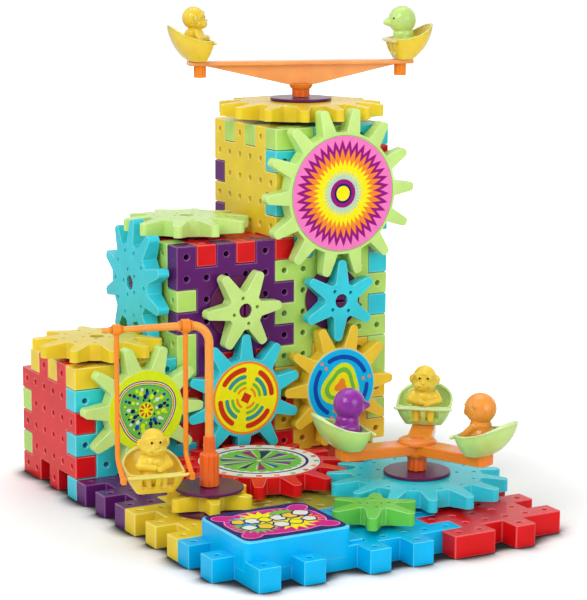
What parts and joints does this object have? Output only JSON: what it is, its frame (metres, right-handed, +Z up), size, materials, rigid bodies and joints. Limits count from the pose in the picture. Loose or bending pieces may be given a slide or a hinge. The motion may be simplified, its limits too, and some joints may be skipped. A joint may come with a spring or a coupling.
{
  "type": "gear construction toy",
  "caption": "Motor-driven gear toy of interlocking plastic panels in stepped towers, with meshing fingered gears that turn a swing, a carousel and a seesaw with small animals.",
  "frame": {"origin": "under the middle of the olive base panel, on the floor", "axes": "+Z up, +X along the front to the right, +Y from the motor box towards the towers"},
  "size_m": [0.2566, 0.2736, 0.2661],
  "materials": {
    "red_plastic": "gloss, moulded",
    "purple_plastic": "gloss, moulded",
    "teal_plastic": "gloss, moulded",
    "lime_plastic": "gloss, moulded",
    "yellow_plastic": "gloss, moulded",
    "amber_plastic": "gloss, moulded",
    "blue_plastic": "gloss, moulded",
    "orange_plastic": "gloss, moulded",
    "green_plastic": "gloss, moulded",
    "plum_plastic": "gloss, moulded",
    "olive_plastic": "gloss, moulded",
    "maroon_plastic": "gloss, moulded",
    "black_plastic": "satin",
    "battery_jacket": "satin",
    "motor_steel": "bare steel"
  },
  "bodies": {
    "frame": {"base_yellow": "yellow_plastic", "base_purple": "purple_plastic", "base_red": "red_plastic", "base_olive": "olive_plastic", "base_lime": "lime_plastic", "base_maroon": "maroon_plastic", "front_teal_low": "teal_plastic", "front_red_low": "red_plastic", "front_amber_low": "amber_plastic", "front_purple_mid": "purple_plastic", "front_lime_mid": "lime_plastic", "front_teal_high": "teal_plastic", "left_red_low": "red_plastic", "left_lime_mid": "lime_plastic", "left_yellow_high": "yellow_plastic", "top_yellow_low": "yellow_plastic", "top_red_mid": "red_plastic", "top_lime_high": "lime_plastic", "right_wall": "lime_plastic", "back_wall": "purple_plastic", "motor_housing": "blue_plastic", "motor_floor": "blue_plastic", "battery_door": "blue_plastic", "battery_front": "battery_jacket", "battery_back": "battery_jacket", "gearmotor": "motor_steel"},
    "carousel": {"gear_teal_flat": "teal_plastic", "carousel_disc": "plum_plastic", "carousel_arms": "orange_plastic", "carousel_seat_rear": "lime_plastic", "carousel_rider_monkey": "yellow_plastic", "carousel_seat_left": "lime_plastic", "carousel_rider_chick": "purple_plastic", "carousel_seat_right": "lime_plastic", "carousel_rider_cub": "orange_plastic"},
    "gear_red_flat_body": {"gear_red_flat": "red_plastic"},
    "drive": {"gear_green_drive": "green_plastic", "drive_shaft": "green_plastic"},
    "swing_gear": {"gear_yellow_swing": "yellow_plastic", "swing_disc": "plum_plastic", "swing_post": "orange_plastic"},
    "gear_teal_low_body": {"gear_teal_low": "teal_plastic"},
    "gear_lime_low_body": {"gear_lime_low": "lime_plastic"},
    "gear_amber_low_body": {"gear_amber_low": "amber_plastic"},
    "gear_lime_star_body": {"gear_lime_star": "lime_plastic"},
    "gear_teal_star_body": {"gear_teal_star": "teal_plastic"},
    "gear_lime_large_body": {"gear_lime_large": "lime_plastic"},
    "seesaw": {"gear_yellow_top": "yellow_plastic", "seesaw_disc": "plum_plastic", "seesaw_beam": "orange_plastic", "seesaw_seat_right": "yellow_plastic", "seesaw_rider_chick": "lime_plastic", "seesaw_seat_left": "yellow_plastic"},
    "gear_yellow_low_body": {"gear_yellow_low": "yellow_plastic"},
    "gear_teal_side_body": {"gear_teal_side": "teal_plastic"},
    "gear_lime_top_body": {"gear_lime_top": "lime_plastic"},
    "swing_hanger": {"swing_rod_inner": "orange_plastic", "swing_rod_outer": "orange_plastic", "swing_seat": "yellow_plastic"},
    "switch": {"power_switch": "black_plastic"}
  },
  "joints": [
    {"name": "teal_flat_spin", "type": "hinge", "parent": "frame", "child": "carousel", "pos_m": [0.05, -0.025, 0.01235], "axis": [0, 0, 1], "continuous": true},
    {"name": "red_flat_spin", "type": "hinge", "parent": "frame", "child": "gear_red_flat_body", "pos_m": [-0.0125, 0.0375, 0.01235], "axis": [0, 0, 1], "continuous": true},
    {"name": "green_drive_spin", "type": "hinge", "parent": "frame", "child": "drive", "pos_m": [0, -0.0625, 0.01235], "axis": [0, 0, 1], "continuous": true},
    {"name": "yellow_swing_spin", "type": "hinge", "parent": "frame", "child": "swing_gear", "pos_m": [-0.0625, 0, 0.01235], "axis": [0, 0, 1], "continuous": true},
    {"name": "teal_low_spin", "type": "hinge", "parent": "frame", "child": "gear_teal_low_body", "pos_m": [0, 0.0875, 0.04985], "axis": [0, -1, 0], "continuous": true},
    {"name": "lime_low_spin", "type": "hinge", "parent": "frame", "child": "gear_lime_low_body", "pos_m": [-0.0625, 0.0875, 0.04985], "axis": [0, -1, 0], "continuous": true},
    {"name": "amber_low_spin", "type": "hinge", "parent": "frame", "child": "gear_amber_low_body", "pos_m": [0.0625, 0.0875, 0.04985], "axis": [0, -1, 0], "continuous": true},
    {"name": "lime_star_spin", "type": "hinge", "parent": "frame", "child": "gear_lime_star_body", "pos_m": [0, 0.0875, 0.09985], "axis": [0, -1, 0], "continuous": true},
    {"name": "teal_star_spin", "type": "hinge", "parent": "frame", "child": "gear_teal_star_body", "pos_m": [0.0625, 0.0875, 0.09985], "axis": [0, -1, 0], "continuous": true},
    {"name": "lime_large_spin", "type": "hinge", "parent": "frame", "child": "gear_lime_large_body", "pos_m": [0.0625, 0.0875, 0.16235], "axis": [0, -1, 0], "continuous": true},
    {"name": "yellow_top_spin", "type": "hinge", "parent": "frame", "child": "seesaw", "pos_m": [0.0625, 0.125, 0.19985], "axis": [0, 0, 1], "continuous": true},
    {"name": "yellow_low_spin", "type": "hinge", "parent": "frame", "child": "gear_yellow_low_body", "pos_m": [-0.075, 0.1125, 0.07485], "axis": [0, 0, 1], "continuous": true},
    {"name": "teal_side_spin", "type": "hinge", "parent": "frame", "child": "gear_teal_side_body", "pos_m": [-0.0375, 0.125, 0.11235], "axis": [-1, 0, 0], "continuous": true},
    {"name": "lime_top_spin", "type": "hinge", "parent": "frame", "child": "gear_lime_top_body", "pos_m": [-0.0125, 0.125, 0.13735], "axis": [0, 0, 1], "continuous": true},
    {"name": "swing_hang", "type": "hinge", "parent": "swing_gear", "child": "swing_hanger", "pos_m": [-0.0625, 0, 0.1116], "axis": [-0.9781, 0.2079, 0], "range_deg": [-15, 15]},
    {"name": "power_slide", "type": "slide", "parent": "frame", "child": "switch", "axis": [1, 0, 0], "range_m": [0, 0.004]}
  ],
  "couplings": [
    {"joint": "red_flat_spin", "follows": "teal_flat_spin", "ratio": -1},
    {"joint": "green_drive_spin", "follows": "teal_flat_spin", "ratio": -2.3333},
    {"joint": "yellow_swing_spin", "follows": "teal_flat_spin", "ratio": 2.3333},
    {"joint": "teal_low_spin", "follows": "teal_flat_spin", "ratio": 1.4},
    {"joint": "lime_low_spin", "follows": "teal_flat_spin", "ratio": -1.4},
    {"joint": "amber_low_spin", "follows": "teal_flat_spin", "ratio": -1.4},
    {"joint": "lime_star_spin", "follows": "teal_flat_spin", "ratio": -2.3333},
    {"joint": "teal_star_spin", "follows": "teal_flat_spin", "ratio": 2.3333},
    {"joint": "lime_large_spin", "follows": "teal_flat_spin", "ratio": -1},
    {"joint": "yellow_top_spin", "follows": "teal_flat_spin", "ratio": 1},
    {"joint": "yellow_low_spin", "follows": "teal_flat_spin", "ratio": 1.4},
    {"joint": "teal_side_spin", "follows": "teal_flat_spin", "ratio": -1.4},
    {"joint": "lime_top_spin", "follows": "teal_flat_spin", "ratio": 1.4}
  ]
}
